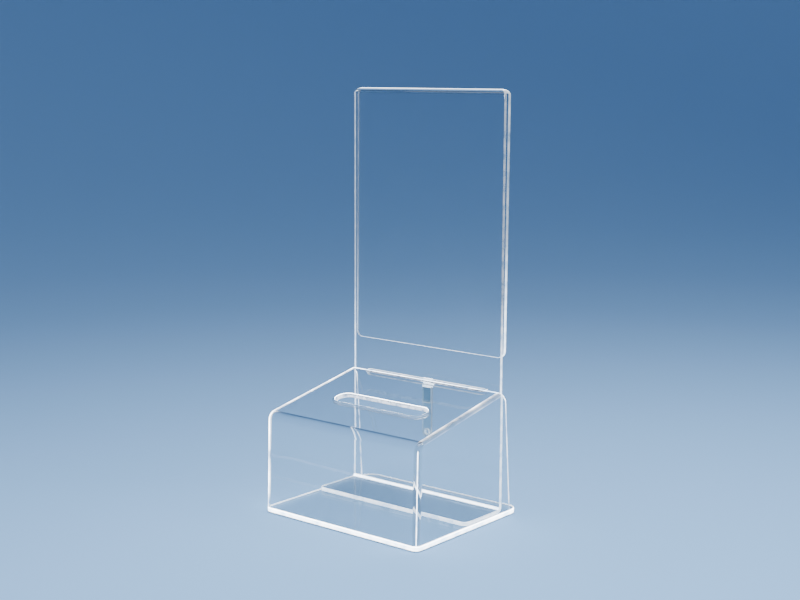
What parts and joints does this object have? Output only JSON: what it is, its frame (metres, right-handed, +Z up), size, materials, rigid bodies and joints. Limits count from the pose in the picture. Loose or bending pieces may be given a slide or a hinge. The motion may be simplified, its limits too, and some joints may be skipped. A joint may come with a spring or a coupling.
{
  "type": "ballot box",
  "caption": "Clear plastic countertop ballot box: sloping slotted case on a flat base, with a tall removable sign header sheet and a hanging latch strap.",
  "frame": {"origin": "middle of the base plate's underside, on the counter that the box stands on", "axes": "+Z up along the tall header, +X to the right of someone facing the front, -Y towards that person, so the front wall faces -Y"},
  "size_m": [0.1342, 0.1128, 0.2899],
  "materials": {
    "clear_plate": "colourless clear plastic, polished, bright edges",
    "clear_moulding": "colourless clear moulded plastic, glossy, rounded edges",
    "clear_sheet": "colourless clear bent sheet, glossy, polished edges",
    "frosted_strap": "faintly smoky translucent plastic",
    "clear_pin": "clear plastic, glossy"
  },
  "bodies": {
    "case": {"base_plate": "clear_plate", "case_shell": "clear_moulding", "latch_pin": "clear_pin"},
    "panel": {"sign_panel": "clear_sheet"},
    "latch": {"latch_strap": "frosted_strap"}
  },
  "joints": [
    {"name": "panel_draw", "type": "slide", "parent": "case", "child": "panel", "axis": [0, 1, 0], "range_m": [0, 0.066]},
    {"name": "latch_swing", "type": "hinge", "parent": "case", "child": "latch", "pos_m": [0, 0.03995, 0.0856], "axis": [1, 0, 0], "range_deg": [0, 90]}
  ]
}
